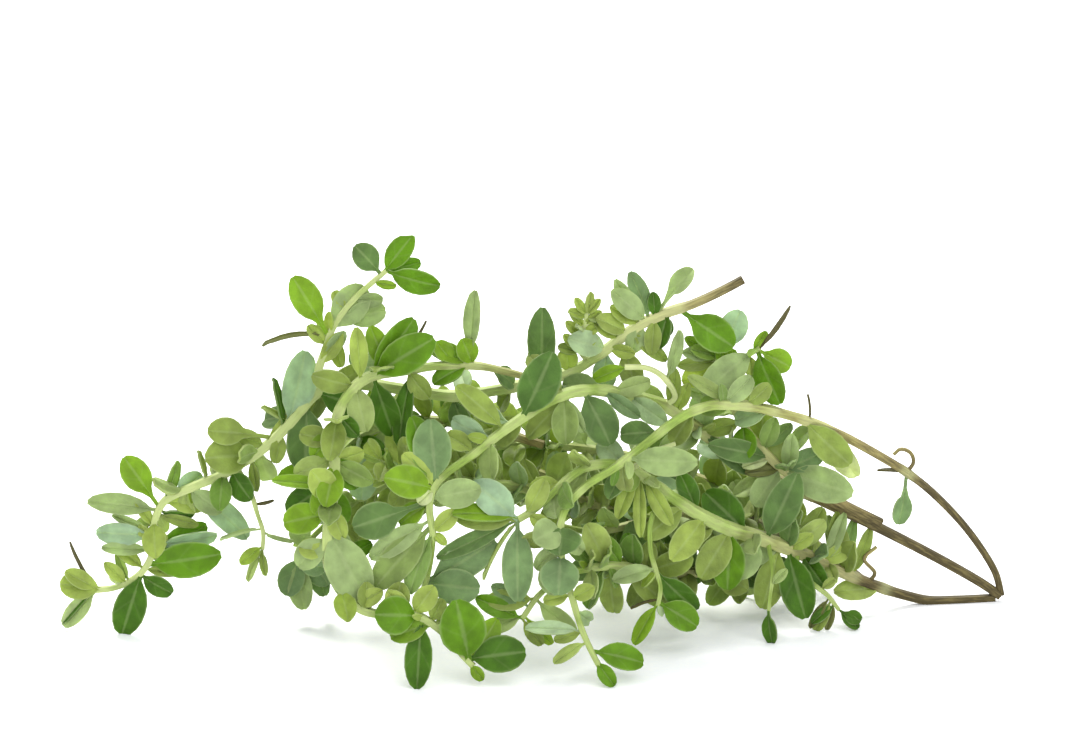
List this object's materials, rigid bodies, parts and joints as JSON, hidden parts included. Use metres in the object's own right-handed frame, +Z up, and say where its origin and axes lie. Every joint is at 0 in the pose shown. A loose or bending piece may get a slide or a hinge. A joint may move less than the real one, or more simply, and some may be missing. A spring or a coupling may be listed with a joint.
{
  "type": "thyme bundle",
  "caption": "Small heap of freshly cut thyme sprigs lying loosely together, with slim woody stems and little oval leaves in pairs.",
  "frame": {"origin": "middle of the heap's outer box, on the surface it lies on", "axes": "+Z up; +X along the heap towards the forked sprig's cut heel; the side with the curled sprig's tip faces -Y"},
  "size_m": [0.147, 0.0568, 0.0635],
  "materials": {
    "forked_sprig": "fresh thyme leaf, soft blue-green with a waxy satin bloom, on yellow-green stems that turn brown at the heel",
    "long_sprig": "fresh thyme leaf, mid green with light yellow-green young stems",
    "curled_sprig": "fresh thyme leaf, mid to dark green with light yellow-green stems",
    "crown_sprig": "fresh thyme leaf, bright green on a pinkish-brown stem",
    "inner_sprigs": "fresh thyme leaf, deeper green, on brownish-green stems",
    "back_sprigs": "fresh thyme leaf, mid green, on woody brown stems"
  },
  "bodies": {
    "root": {"sprig_forked": "forked_sprig", "sprig_long": "long_sprig", "sprig_curled": "curled_sprig", "sprig_crown": "crown_sprig", "sprig_low": "inner_sprigs", "sprig_back_left": "back_sprigs", "sprig_back_right": "back_sprigs", "sprig_middle": "inner_sprigs", "sprig_left": "inner_sprigs", "sprig_inner": "inner_sprigs"}
  },
  "joints": []
}
